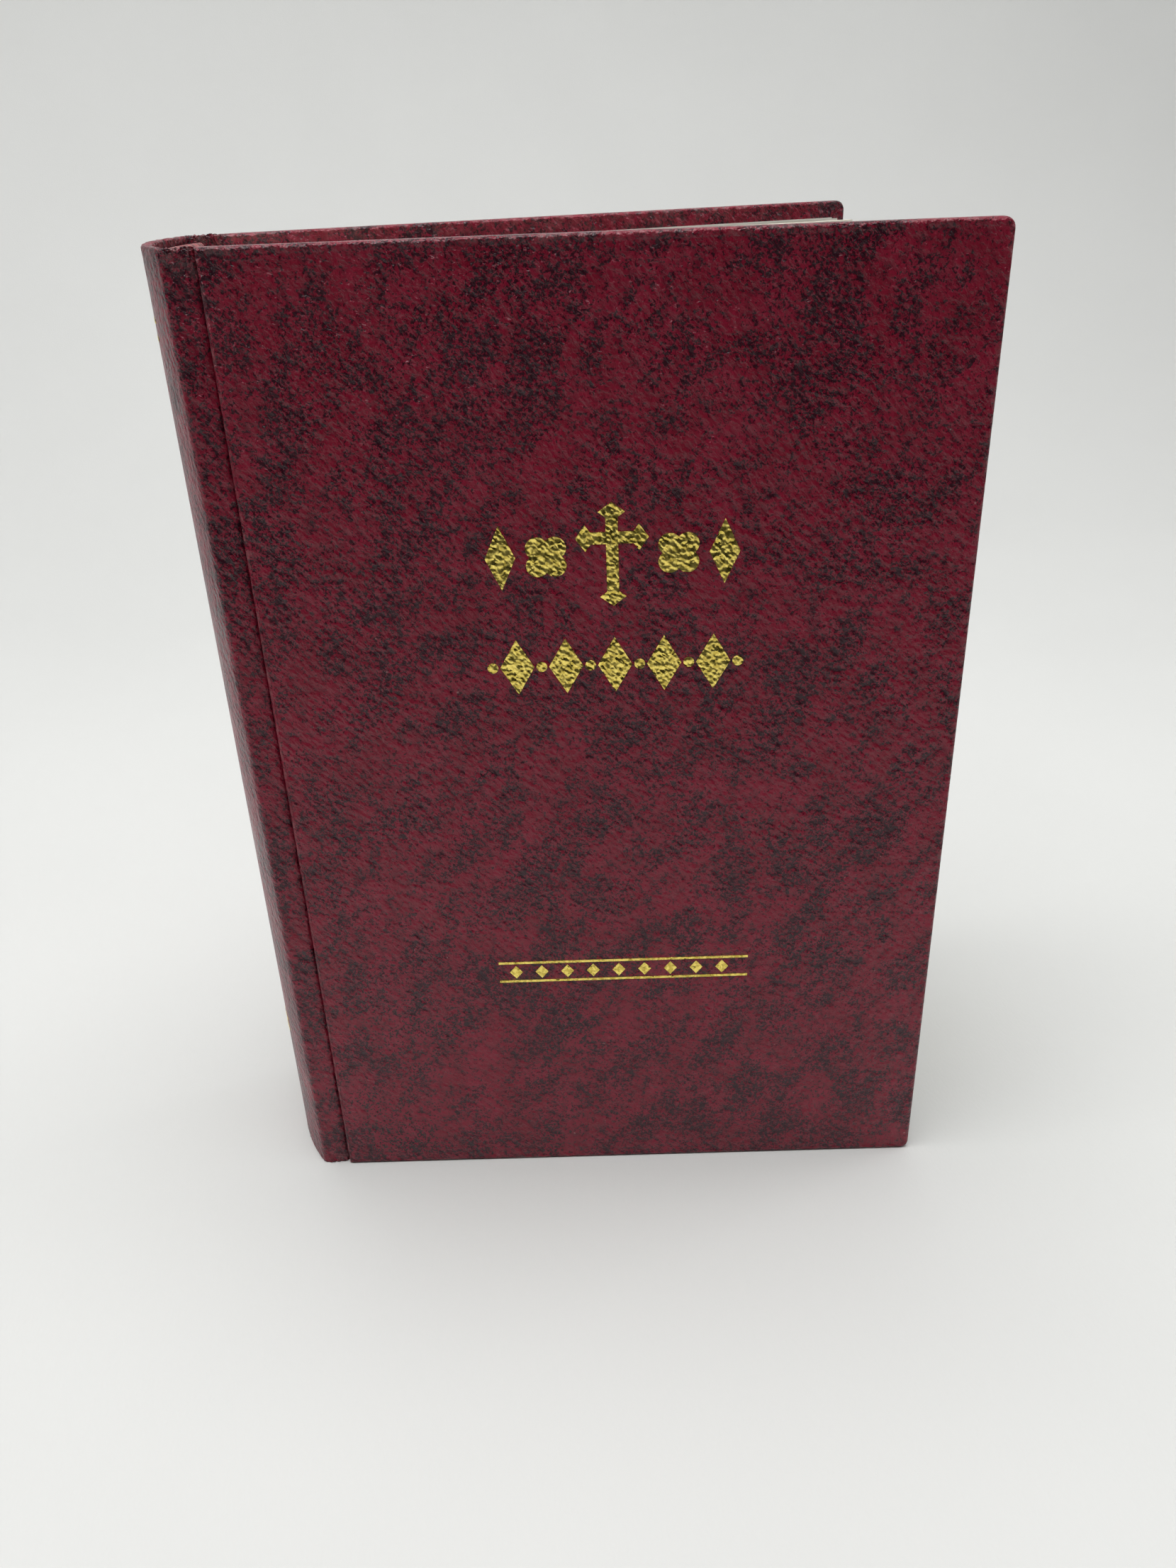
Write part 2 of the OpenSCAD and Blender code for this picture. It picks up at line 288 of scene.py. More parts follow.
def joined(name, objects):
    """Several objects as one."""
    begin()
    for obj in objects:
        obj.select_set(True)
    bpy.context.view_layer.objects.active = objects[0]
    bpy.ops.object.join()
    return named(name)


def mark(obj, name, rule):
    """Writes a number at every point of a mesh, worked out from its place."""
    layer = obj.data.attributes.get(name) or obj.data.attributes.new(name, "FLOAT", "POINT")
    layer.data.foreach_set("value", [rule(v.co) for v in obj.data.vertices])


def dress(obj, finish):
    """Gives an object its material."""
    obj.data.materials.clear()
    obj.data.materials.append(finish)
    return obj


def strip(name, path, low, high, thickness):
    """An upright sheet along a path in plan: one edge, extruded from point to point, then thickened."""
    begin()
    bpy.ops.mesh.primitive_plane_add(size=1)
    obj = named(name)
    bpy.ops.object.mode_set(mode="EDIT")
    choose(obj, "VERT", lambda v: v.co.x > 0)
    bpy.ops.mesh.delete(type="VERT")
    mesh = bmesh.from_edit_mesh(obj.data)
    for vert, z in zip(mesh.verts, (low, high)):
        vert.co = (path[0][0], path[0][1], z)
    bmesh.update_edit_mesh(obj.data)
    bpy.ops.mesh.select_mode(type="EDGE")
    bpy.ops.mesh.select_all(action="SELECT")
    for here, there in zip(path, path[1:]):
        step = (there[0] - here[0], there[1] - here[1], 0)
        bpy.ops.mesh.extrude_region_move(TRANSFORM_OT_translate={"value": step})
    begin()
    apply_modifier(obj, "SOLIDIFY", thickness=thickness, offset=0, use_even_offset=True)
    recalculate(obj)
    return obj


def slab(name, outer, inner, levels, rounding):
    """An upright wall between two lines of points in plan, with rounded rims at its head and tail."""
    begin()
    bpy.ops.mesh.primitive_grid_add(x_subdivisions=len(outer) - 1, y_subdivisions=1, size=1)
    obj = named(name)
    for vert in obj.data.vertices:
        side = outer if vert.co.y < 0 else inner
        place = side[round((vert.co.x + 0.5) * (len(outer) - 1))]
        vert.co = (place.x, place.y, levels[0])
    edit(obj)
    bpy.ops.mesh.select_all(action="SELECT")
    for here, there in zip(levels, levels[1:]):
        bpy.ops.mesh.extrude_region_move(TRANSFORM_OT_translate={"value": (0, 0, there - here)})
    ends = [(outer[k] + inner[k]).xy / 2 for k in (0, -1)]
    for rim in (levels[0], levels[-1]):
        choose(obj, "EDGE", lambda e: in_plane(e, 2, rim) and e.calc_face_angle(0) > 1
               and all((middle(e).xy - end).length > NEAR for end in ends))
        bpy.ops.mesh.bevel(offset=rounding, segments=4, affect="EDGES")
    recalculate(obj)
    return obj


def beside(path, distances):
    """The line that runs beside a path, at a distance to its left from each of its points."""
    points = []
    for i, point in enumerate(path):
        way = (path[min(i + 1, len(path) - 1)] - path[max(i - 1, 0)]).normalized()
        points.append(point + Vector((-way.y, way.x, 0)) * distances[i])
    return points


def curve(start, corner, end, steps):
    """Points of a curve that leaves start and reaches end along the lines to a corner."""
    points = []
    for i in range(steps + 1):
        t = i / steps
        points.append(start * (1 - t) ** 2 + corner * 2 * t * (1 - t) + end * t ** 2)
    return points


def line(start, end, steps):
    """Evenly spaced points from start to end."""
    return [start.lerp(end, i / steps) for i in range(steps + 1)]


def eased(t):
    """A share from 0 to 1 that starts and stops gently, as a blend does."""
    t = min(1, max(0, t))
    return t * t * (3 - 2 * t)


# ---- Node helpers for the materials ----


def feed(tree, socket, value):
    """Links an output to a socket, or sets the socket's own value."""
    if isinstance(value, bpy.types.NodeSocket):
        tree.links.new(value, socket)
    else:
        socket.default_value = value


def node(tree, kind, inputs=(), **settings):
    """Adds a node, sets it up and feeds its inputs, given as pairs of a socket and a value."""
    made = tree.nodes.new(kind)
    for key, value in settings.items():
        setattr(made, key, value)
    for key, value in dict(inputs).items():
        feed(tree, made.inputs[key], value)
    return made


def new_material(name):
    """An empty node material and its object coordinates."""
    made = bpy.data.materials.new(name)
    made.use_nodes = True
    made.node_tree.nodes.clear()
    place = node(made.node_tree, "ShaderNodeTexCoord").outputs["Object"]
    return made, made.node_tree, place


def stretched(tree, place, scale, turn=(0, 0, 0)):
    """Coordinates turned and then stretched."""
    turned = node(tree, "ShaderNodeMapping", {"Vector": place, "Rotation": turn}).outputs[0]
    return node(tree, "ShaderNodeMapping", {"Vector": turned, "Scale": scale}).outputs[0]


def noise(tree, place, scale, detail=2.0, roughness=0.5, distortion=0.0):
    """Soft random values with features about 1 / scale metres long."""
    inputs = {"Vector": place, "Scale": scale, "Detail": detail, "Roughness": roughness}
    inputs["Distortion"] = distortion
    return node(tree, "ShaderNodeTexNoise", inputs).outputs[0]


def cells(tree, place, scale):
    """Rounded pebbles about 1 / scale metres wide."""
    inputs = {"Vector": place, "Scale": scale}
    return node(tree, "ShaderNodeTexVoronoi", inputs, feature="SMOOTH_F1").outputs["Distance"]


def darker(colour, share):
    """A colour times a share, still opaque."""
    return [c * share for c in colour[:3]] + [1]


def maths(tree, operation, first, second=0.0):
    """A sum, product or other operation on two values."""
    return node(tree, "ShaderNodeMath", {0: first, 1: second}, operation=operation).outputs[0]


def ramp(tree, value, low, high, to_low=0.0, to_high=1.0):
    """A value carried smoothly from one range to another."""
    inputs = {"Value": value, "From Min": low, "From Max": high, "To Min": to_low, "To Max": to_high}
    return node(tree, "ShaderNodeMapRange", inputs, interpolation_type="SMOOTHSTEP").outputs[0]


def mix(tree, share, first, second):
    """A mix of two colours."""
    inputs = {0: share, 6: first, 7: second}
    return node(tree, "ShaderNodeMix", inputs, data_type="RGBA").outputs[2]


def bump(tree, height, distance, below=None):
    """A normal raised by a height, over another bump if one is given."""
    inputs = {"Height": height, "Distance": distance, "Strength": 1.0}
    if below is not None:
        inputs["Normal"] = below
    return node(tree, "ShaderNodeBump", inputs).outputs[0]


def attribute(tree, name):
    """A number written at the points of a mesh."""
    return node(tree, "ShaderNodeAttribute", attribute_name=name).outputs["Fac"]


def surface(tree, colour, roughness, normal, **constants):
    """The shader at the end of a material."""
    inputs = {"Base Color": colour, "Roughness": roughness, "Normal": normal}
    inputs.update({key.replace("_", " "): value for key, value in constants.items()})
    shader = node(tree, "ShaderNodeBsdfPrincipled", inputs)
    node(tree, "ShaderNodeOutputMaterial", {"Surface": shader.outputs[0]})


# ---- Materials ----


def leatherette(colours):
    """Burgundy leather-look covering: clusters of dark flecks, a fine slanting grain with painted shade in
    its creases, and rubbed edges.
    """
    made, tree, place = new_material("mottled_leatherette")
    strokes = stretched(tree, place, (1.0, 1.0, 0.6), (0, math.radians(38), 0))
    pebble = cells(tree, strokes, 820)
    crease = noise(tree, strokes, 1500, 3.0, 0.6, 0.5)
    slant = stretched(tree, place, (1.0, 1.0, 0.6), (0, math.radians(-35), 0))
    clusters = noise(tree, slant, 140, 4.0, 0.62, 0.5)
    drifts = noise(tree, slant, 34, 2.0, 0.5, 0.4)
    drifting = ramp(tree, drifts, 0.32, 0.68, -0.2, 0.2)
    crowd = maths(tree, "ADD", ramp(tree, clusters, 0.34, 0.66), drifting)
    limit = ramp(tree, crowd, -0.1, 1.1, 0.7, 0.56)
    fleck = noise(tree, place, 1700, 2.0, 0.65, 0.6)
    fine_fleck = noise(tree, place, 3600, 1.0, 0.5)
    fine_share = maths(tree, "MULTIPLY", fine_fleck, 0.16)
    spread = maths(tree, "ADD", fine_share, maths(tree, "MULTIPLY", pebble, 0.16))
    over = maths(tree, "SUBTRACT", maths(tree, "ADD", fleck, spread), limit)
    flecks = ramp(tree, over, 0.02, 0.1)
    tones = ramp(tree, noise(tree, place, 150, 3.0), 0.3, 0.7)
    tone = mix(tree, tones, colours.leather, colours.leather_light)
    shaded = mix(tree, maths(tree, "MULTIPLY", crowd, 0.25), tone, colours.leather_mottle_and_painted_crease_shade)
    # Painted shade: the grain's creases are darkened in the colour, toward the dark leather tone.
    folds = mix(tree, ramp(tree, pebble, 0.4, 0.75, 0.0, 0.5), shaded, colours.leather_mottle_and_painted_crease_shade)
    flecked = mix(tree, maths(tree, "MULTIPLY", flecks, 0.92), folds, colours.fleck)
    rubbed = attribute(tree, "wear")
    scuff = maths(tree, "MULTIPLY", rubbed, ramp(tree, noise(tree, place, 420, 3.0, 0.7), 0.42, 0.68))
    dust = ramp(tree, noise(tree, place, 900, 1.0, 0.5), 0.79, 0.84, 0.0, 0.5)
    pale = maths(tree, "ADD", maths(tree, "MULTIPLY", scuff, 0.35), dust)
    colour = mix(tree, pale, flecked, colours.scuff)
    grain = maths(tree, "SUBTRACT", maths(tree, "MULTIPLY", crease, 0.8), pebble)
    swell = noise(tree, place, 45, 1.0)
    crinkle = maths(tree, "MULTIPLY", noise(tree, place, 620, 2.0, 0.6, 0.6), rubbed)
    broad = bump(tree, swell, 0.5 * MM)
    wrinkled = bump(tree, crinkle, 0.7 * MM, broad)
    normal = bump(tree, grain, 0.5 * MM, wrinkled)
    shine = ramp(tree, noise(tree, place, 60, 3.0, 0.6), 0.3, 0.7, 0.25, 0.33)
    surface(tree, colour, shine, normal, IOR=1.45)
    return made


def gold_foil(colours):
    """Crinkled gold leaf: bumped facets and creases, in bright gold with olive patches of painted shade at
    random.
    """
    made, tree, place = new_material("crinkled_gold")
    crumple = stretched(tree, place, (1.0, 1.0, 0.75), (0, math.radians(30), 0))
    facets = cells(tree, crumple, 1350)
    creases = noise(tree, crumple, 1000, 1.0, 0.5, 0.4)
    painted_shade_patches = ramp(tree, noise(tree, place, 1000, 2.0, 0.55, 0.6), 0.38, 0.6)
    # Painted shade: olive gold mixed in at random patches, as in the folds of the foil.
    colour = mix(tree, painted_shade_patches, colours.gold_shade, colours.gold)
    normal = bump(tree, maths(tree, "ADD", facets, creases), 0.3 * MM)
    shine = ramp(tree, noise(tree, place, 500, 2.0), 0.3, 0.7, 0.24, 0.38)
    surface(tree, colour, shine, normal, Metallic=1.0)
    return made


def paper(name, colour, edge_colour, fibre):
    """Book paper: faint fibres and toning, and fine leaf lines wherever the thickness of a sheet shows."""
    made, tree, place = new_material(name)
    across = attribute(tree, "across")
    along = node(tree, "ShaderNodeSeparateXYZ", {0: place}).outputs
    lines_at = node(tree, "ShaderNodeCombineXYZ", {
        0: maths(tree, "MULTIPLY", along[0], 14.0),
        1: maths(tree, "MULTIPLY", across, 5200.0),
        2: maths(tree, "MULTIPLY", along[2], 14.0),
    }).outputs[0]
    leaf_lines = noise(tree, lines_at, 1.0, 4.0, 0.7)
    toning = noise(tree, place, 35, 3.0, 0.6)
    fibres = noise(tree, stretched(tree, place, (1.0, 1.0, 0.4)), 1800, 3.0, 0.6)
    base = mix(tree, ramp(tree, toning, 0.35, 0.75, 0.0, 0.14), colour, edge_colour)
    fleck = mix(tree, ramp(tree, fibres, 0.55, 0.75, 0.0, fibre), base, edge_colour)
    shown = mix(tree, ramp(tree, leaf_lines, 0.42, 0.7, 0.0, 0.75), fleck, edge_colour)
    height = maths(tree, "ADD", maths(tree, "MULTIPLY", fibres, 0.25), leaf_lines)
    surface(tree, shown, ramp(tree, fibres, 0.3, 0.7, 0.72, 0.88), bump(tree, height, 0.03 * MM),
            Sheen_Weight=0.05)
    return made


def grey_board(colours):
    """Pressed grey board with short fibres and flecks."""
    made, tree, place = new_material("pressed_board")
    fibres = noise(tree, stretched(tree, place, (1.0, 1.0, 0.3)), 1500, 4.0, 0.65)
    flecks = ramp(tree, noise(tree, place, 2400, 2.0), 0.62, 0.75)
    base = mix(tree, fibres, colours.board, darker(colours.board, 0.72))
    colour = mix(tree, maths(tree, "MULTIPLY", flecks, 0.5), base, (0.12, 0.1, 0.08, 1))
    surface(tree, colour, ramp(tree, fibres, 0.3, 0.7, 0.8, 0.95), bump(tree, fibres, 0.08 * MM))
    return made


def kraft_paper(colours):
    """Ribbed brown kraft paper."""
    made, tree, place = new_material("ribbed_kraft")
    waves = {"Vector": place, "Scale": 380, "Distortion": 1.5, "Detail": 2.0}
    ribs = node(tree, "ShaderNodeTexWave", waves, bands_direction="Z").outputs["Fac"]
    fibres = noise(tree, place, 1600, 3.0)
    colour = mix(tree, fibres, colours.kraft, darker(colours.kraft, 0.7))
    surface(tree, colour, ramp(tree, fibres, 0.3, 0.7, 0.7, 0.85), bump(tree, ribs, 0.04 * MM))
    return made


def woven(name, colour, pitch):
    """Plain weave of two sets of threads, darkened by painted shade between them, with loose fibres."""
    made, tree, place = new_material(name)
    waves = {"Vector": place, "Scale": 1 / pitch / math.tau, "Distortion": 0.6, "Detail": 1.0}
    warp = node(tree, "ShaderNodeTexWave", waves, bands_direction="Y").outputs["Fac"]
    weft = node(tree, "ShaderNodeTexWave", waves, bands_direction="Z").outputs["Fac"]
    weave = maths(tree, "MAXIMUM", warp, weft)
    fibres = noise(tree, place, 3000, 3.0)
    shade = darker(colour, 0.6)
    # Painted shade: the weave is darker between its threads; the loose fibres take the same darker colour.
    tone = mix(tree, ramp(tree, weave, 0.2, 0.8), shade, colour)
    surface(tree, mix(tree, maths(tree, "MULTIPLY", fibres, 0.25), tone, shade), 0.85,
            bump(tree, maths(tree, "ADD", weave, maths(tree, "MULTIPLY", fibres, 0.3)), 0.1 * MM),
            Sheen_Weight=0.2)
    return made


def band_silk(colours, pitch):
    """Thread wound round a headband in two colours by turns."""
    made, tree, place = new_material("wound_silk")
    along = node(tree, "ShaderNodeSeparateXYZ", {0: place}).outputs[1]
    turns = maths(tree, "SINE", maths(tree, "MULTIPLY", along, math.tau / pitch))
    strands = noise(tree, stretched(tree, place, (0.4, 3.0, 0.4)), 2500, 2.0)
    colour = mix(tree, ramp(tree, turns, -0.15, 0.15), colours.band_dark, colours.band_light)
    worn = mix(tree, maths(tree, "MULTIPLY", strands, 0.3), colour, (0.3, 0.12, 0.1, 1))
    surface(tree, worn, ramp(tree, strands, 0.3, 0.7, 0.4, 0.6), bump(tree, strands, 0.06 * MM),
            Sheen_Weight=0.3)
    return made


def studio_cloth(colours):
    """The pale, finely woven cloth that the book stands on."""
    made, tree, place = new_material("studio_cloth")
    weave = noise(tree, stretched(tree, place, (1.0, 0.35, 1.0)), 1500, 2.0)
    soft = noise(tree, place, 6, 2.0)
    clouds = ramp(tree, soft, 0.3, 0.7, 0.0, 0.35)
    colour = mix(tree, clouds, colours.floor, darker(colours.floor, 0.93))
    surface(tree, colour, 0.9, bump(tree, weave, 0.05 * MM), Specular_IOR_Level=0.2)
    return made


# ---- Settings that a user can change ----


def length(name, description, default):
    """A length in the settings, given in millimetres."""
    return FloatProperty(name=name, description=description, default=default * MM,
                         unit="LENGTH", precision=5)


def tint(name, description, default):
    """A colour in the settings."""
    return FloatVectorProperty(name=name, description=description, default=(*default, 1.0), size=4,
                               subtype="COLOR", min=0.0, max=1.0)


class BibleShape(bpy.types.PropertyGroup):
    """Sizes of the finished pieces."""

    edge_round: length("Edge rounding", "Radius of the covering over the boards' edges", 0.9)
    corner_round: length("Corner rounding", "Radius of the covers' fore-edge corners", 2.0)
    turn_in: length("Turn-in", "Width of the covering turned in over a board's inner face", 15.0)
    end_proud: length("Joint end", "How far the covering stands past a board's joint edge", 0.15)
    groove_drop: length("Groove depth", "Depth of the pressed groove below the board's face", 1.7)
    groove_w: length("Groove width", "Width over which the covering dips into the groove", 1.5)
    crest_drop: length("Joint level", "How far the covering lies below the board's face before it dips", 0.9)
    seam_reach: length("Spine return", "How far the spine's covering stops short of the hinge line", 2.2)
    shoulder_round: length("Shoulder rounding", "Length over which the covering turns at the shoulder", 1.1)
    pucker: length("Puckers", "How far the covering is crumpled where it is turned in at the joints", 0.3)
    rim_round: length("Rim rounding", "Radius of the folded edge at head and tail of the spine", 0.44)
    leaf_bend: length("Leaf bend", "Width over which turning leaves bend out of the gutter", 7.0)
    sheet_t: length("Sheet", "Thickness of one bundle of leaves inside a section", 0.25)
    raggedness: length("Raggedness", "How unevenly the leaves' edges lie", 0.07)
    wrap_pitch: length("Band wrap", "Distance between two like stripes on a headband", 2.4)
    seed: IntProperty(name="Seed", description="Seed of the leaves' and the puckers' unevenness", default=7)


class BibleColours(bpy.types.PropertyGroup):
    """Colours of the materials."""

    leather: tint("Leather", "Deep tone of the covering", (0.215, 0.0055, 0.023))
    leather_light: tint("Leather, light", "Lighter tone of the covering", (0.265, 0.01, 0.034))
    # Dark tone between crowded flecks, and also the painted shade in the grain's creases.
    leather_mottle_and_painted_crease_shade: tint("Leather, shade", "Tone between crowded flecks", (0.085, 0.006, 0.017))
    fleck: tint("Flecks", "Colour of the dark flecks", (0.018, 0.003, 0.009))
    scuff: tint("Scuffs", "Colour of rubbed edges", (0.42, 0.22, 0.22))
    gold: tint("Gold", "Bright gold", (1.0, 0.8, 0.2))
    # Painted shade of the gold, mixed in at random patches.
    gold_shade: tint("Gold, shade", "Gold in the folds of the foil", (0.62, 0.47, 0.09))
    leaf: tint("Leaves", "Colour of the leaves", (0.82, 0.79, 0.7))
    leaf_edge: tint("Leaf edges", "Colour between the leaves", (0.58, 0.52, 0.4))
    endpaper: tint("Endpapers", "Colour of the endpapers", (0.88, 0.87, 0.82))
    endpaper_tone: tint("Endpapers, toned", "Toned colour of the endpapers", (0.76, 0.73, 0.64))
    board: tint("Board", "Colour of the grey board", (0.3, 0.27, 0.22))
    kraft: tint("Kraft", "Colour of the spine lining", (0.36, 0.24, 0.12))
    mull: tint("Mull", "Colour of the mull and the sewing thread", (0.72, 0.68, 0.56))
    band_light: tint("Band, light", "Light thread of the headbands", (0.32, 0.05, 0.06))
    band_dark: tint("Band, dark", "Dark thread of the headbands", (0.11, 0.012, 0.02))
    floor: tint("Floor", "Colour of the floor", (0.67, 0.675, 0.66))
    backdrop: tint("Backdrop", "Colour seen past the floor", (0.72, 0.72, 0.69))
    daylight: tint("Daylight", "Colour of the soft light from behind", (1, 1, 0.98))


class BibleStudio(bpy.types.PropertyGroup):
    """Light around the book."""

    key_power: FloatProperty(name="Key", description="Power of the overhead light",
                             default=24.0, unit="POWER")
    side_power: FloatProperty(name="Sides", description="Power of each side light",
                              default=2.5, unit="POWER")
    ambient: FloatProperty(name="Ambient", description="Strength of the soft light from behind",
                           default=0.35)


# ---- Places in plan, on the front cover's side ----


def ajar(point):
    """A point of the shut cover, moved to where the cover stands ajar."""
    return about(HINGE, -SPLAY) @ point


def spine_point(radius, angle):
    """A point of the spine's curve, at an angle from its middle towards the front cover."""
    return Vector((SPINE_X - radius * math.cos(angle), -radius * math.sin(angle), 0))


def joint_line(shape):
    """Outer points of the covering in a joint: shoulder, crest, foot of the groove, under the board."""
    shoulder = spine_point(SPINE_R, math.asin(SPINE_HIGH.y / SPINE_R))
    edge_x = COVER_LOW.x - shape.end_proud
    crest = ajar(Vector((edge_x - shape.groove_w, COVER_LOW.y + shape.crest_drop, 0)))
    foot_y = COVER_LOW.y + shape.groove_drop
    foot = ajar(Vector((edge_x - 0.15 * shape.groove_w, foot_y, 0)))
    under = ajar(Vector((edge_x + 2 * CLOTH_T, foot_y, 0)))
    return shoulder, crest, foot, under


def seam(shape):
    """Where the spine's covering and the joint cloth meet."""
    shoulder, crest, _, _ = joint_line(shape)
    share = (HINGE.x - shape.seam_reach - shoulder.x) / (crest.x - shoulder.x)
    return shoulder.lerp(crest, share)


def rims(low, high):
    """Heights at which a tall piece is divided, closer together near its head and tail."""
    near = [share * MM for share in (1.2, 2, 2.9, 4, 5.4, 7.2, 9.5, 12, 15)]
    return [low, *(low + d for d in near), *(high - d for d in reversed(near)), high]


# ---- Covers ----


def mitre(obj, z, slope, shape):
    """Folds a narrow crease into a turn-in's corner, from the corner of the board inwards."""
    inner = COVER_HIGH.y
    centre = Vector((COVER_HIGH.x - shape.turn_in, inner, z))
    beyond = centre.x - NEAR

    def in_corner(face):
        place = face.calc_center_median()
        return in_plane(face, 1, inner) and place.x > beyond and (place.z - z) * slope > 0

    def on_diagonal(edge):
        place = middle(edge)
        off = (place.x - centre.x) - (place.z - z) * slope
        flat = in_plane(edge, 1, inner) and place.x > beyond
        return flat and abs(off) < 0.01 * MM and not runs_along(edge, 0) and not runs_along(edge, 2)

    choose(obj, "FACE", in_corner)
    bpy.ops.mesh.bisect(plane_co=centre, plane_no=(1, 0, -slope))
    choose(obj, "EDGE", on_diagonal)
    bpy.ops.mesh.bevel(offset=MITRE_W, segments=2, affect="EDGES")
    choose(obj, "EDGE", on_diagonal)
    bpy.ops.transform.translate(value=(0, -MITRE_D, 0))


def cover_cloth(name, shape):
    """The covering of a shut board: rounded edges, fore-edge corners, and turn-ins mitred at the corners."""
    low, high = COVER_LOW.copy(), COVER_HIGH.copy()
    low.x -= shape.end_proud
    obj = add_block(name, low, high)
    edit(obj)
    choose(obj, "EDGE", lambda e: runs_along(e, 1) and middle(e).x > high.x - NEAR)
    bpy.ops.mesh.bevel(offset=shape.corner_round, segments=7, affect="EDGES")
    choose(obj, "EDGE", lambda e: in_plane(e, 1, low.y) or in_plane(e, 1, high.y))
    bpy.ops.mesh.bevel(offset=shape.edge_round, segments=5, affect="EDGES")
    for point, way in (
        ((high.x - shape.turn_in, 0, 0), (1, 0, 0)),
        ((0, 0, low.z + shape.turn_in), (0, 0, 1)),
        ((0, 0, high.z - shape.turn_in), (0, 0, 1)),
    ):
        choose(obj, "FACE", lambda f: in_plane(f, 1, high.y))
        bpy.ops.mesh.bisect(plane_co=point, plane_no=way)
    mitre(obj, high.z - shape.turn_in, 1, shape)
    mitre(obj, low.z + shape.turn_in, -1, shape)

    def in_window(face):
        place = face.calc_center_median()
        in_height = low.z + shape.turn_in < place.z < high.z - shape.turn_in
        return in_plane(face, 1, high.y) and in_height and place.x < high.x - shape.turn_in

    choose(obj, "FACE", in_window)
    bpy.ops.mesh.delete(type="FACE")
    for depth in WEAR_STRIPS:
        for point, way in (
            ((low.x + depth, 0, 0), (1, 0, 0)),
            ((high.x - depth, 0, 0), (1, 0, 0)),
            ((0, 0, low.z + depth), (0, 0, 1)),
            ((0, 0, high.z - depth), (0, 0, 1)),
        ):
            choose(obj, "FACE", lambda f: in_plane(f, 1, low.y))
            bpy.ops.mesh.bisect(plane_co=point, plane_no=way)
    recalculate(obj)
    apply_modifier(obj, "SOLIDIFY", thickness=CLOTH_T, offset=-1, use_even_offset=True)

    def rubbed(place):
        from_joint = place.x - low.x + JOINT_SIDE_REST
        depth = min(from_joint, high.x - place.x, place.z - low.z, high.z - place.z)
        return max(0.0, 1 - depth / RUB_W)

    mark(obj, "wear", rubbed)
    smooth(obj)
    return obj


def pastedown(name, shape):
    """The endpaper glued inside a board, with the edges of what lies under it showing as a low step."""
    low, high = PASTE_LOW.copy(), PASTE_HIGH.copy()
    low.y = COVER_HIGH.y
    obj = add_block(name, low, high)
    margin = shape.turn_in - SQUARE
    edit(obj)
    choose(obj, "FACE", lambda f: in_plane(f, 1, high.y))
    bpy.ops.mesh.inset(thickness=margin)
    bpy.ops.mesh.inset(thickness=STEP_W)
    bpy.ops.transform.translate(value=(0, -STEP_D, 0))
    choose(obj, "FACE", lambda f: in_plane(f, 1, low.y))
    bpy.ops.mesh.inset(thickness=margin + WINDOW_GAP)
    bpy.ops.mesh.extrude_region_move(TRANSFORM_OT_translate={"value": (0, PASTE_LOW.y - low.y, 0)})
    begin()
    mark(obj, "across", lambda place: place.y)
    smooth(obj, 20)
    return obj


class BIBLE_OT_covers(bpy.types.Operator):
    """Models the covering and the pastedown of both boards"""

    bl_idname = "bible.covers"
    bl_label = "Covers"

    def execute(self, context):
        shape, colours = context.scene.bible_shape, context.scene.bible_colours
        leather = leatherette(colours)
        lining = paper("endpaper_sheet", colours.endpaper, colours.endpaper_tone, 0.3)
        card = grey_board(colours)
        for part, make, finish, slot in (
            ("cover_cloth", cover_cloth, leather, "leatherette"),
            ("pastedown", pastedown, lining, "endpaper"),
        ):
            front = placed(make(f"front_{part}_made", shape), about(HINGE, -SPLAY))
            back = mirrored(front, f"back_{part}_made")
            for side, piece in (("front", front), ("back", back)):
                dress(piece, finish)
                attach(piece, f"{side}_cover")
                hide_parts(f"{side}_{part}")
        for side in ("front", "back"):
            dress(frame["nodes"][f"{side}_board"], card)
        return {"FINISHED"}


# ---- Spine and joints ----


def spine_cloth(name, shape):
    """The covering of the spine, wrapped over the card inlay at head and tail."""
    shoulder, _, _, _ = joint_line(shape)
    half = math.asin(-shoulder.y / SPINE_R)
    arc_end = half - shape.shoulder_round / SPINE_R
    end = seam(shape)
    turned = end.lerp(shoulder, 0.2)
    side = [end, *curve(turned, shoulder, spine_point(SPINE_R, arc_end), 7)]
    steps = 84
    arc = [spine_point(SPINE_R, arc_end - 2 * arc_end * i / steps) for i in range(1, steps)]
    other = [Vector((p.x, -p.y, 0)) for p in reversed(side)]
    outer = side + arc + other
    doubled = 2 * CLOTH_T
    depths = [-doubled] * len(outer)
    for i in range(len(side), len(outer) - len(side)):
        reach = min(i - len(side), len(outer) - len(side) - 1 - i)
        depths[i] -= INLAY_T * eased(reach / 4)
    inner = beside(outer, depths)
    obj = slab(name, outer, inner, rims(SPINE_LOW.z, SPINE_HIGH.z), shape.rim_round)
    crumple(obj, 0.3 * shape.pucker, (end.x,), random.Random(shape.seed))
    mark(obj, "wear", rim_wear)
    smooth(obj, 50)
    return obj


def rim_wear(place):
    """Rubbing and wrinkles near the head and tail of the spine."""
    depth = min(place.z - SPINE_LOW.z, SPINE_HIGH.z - place.z)
    return max(0.0, 1 - depth / PUCKER_H) ** 1.5


def crumple(obj, amount, ends, dice):
    """Puckers the covering near its head and tail, where it is folded over, but not at its side ends."""
    for vert in obj.data.vertices:
        if all(abs(vert.co.x - x) > PUCKER_REST for x in ends):
            push = dice.uniform(-1, 1) * amount * rim_wear(vert.co)
            vert.co += vert.normal * push


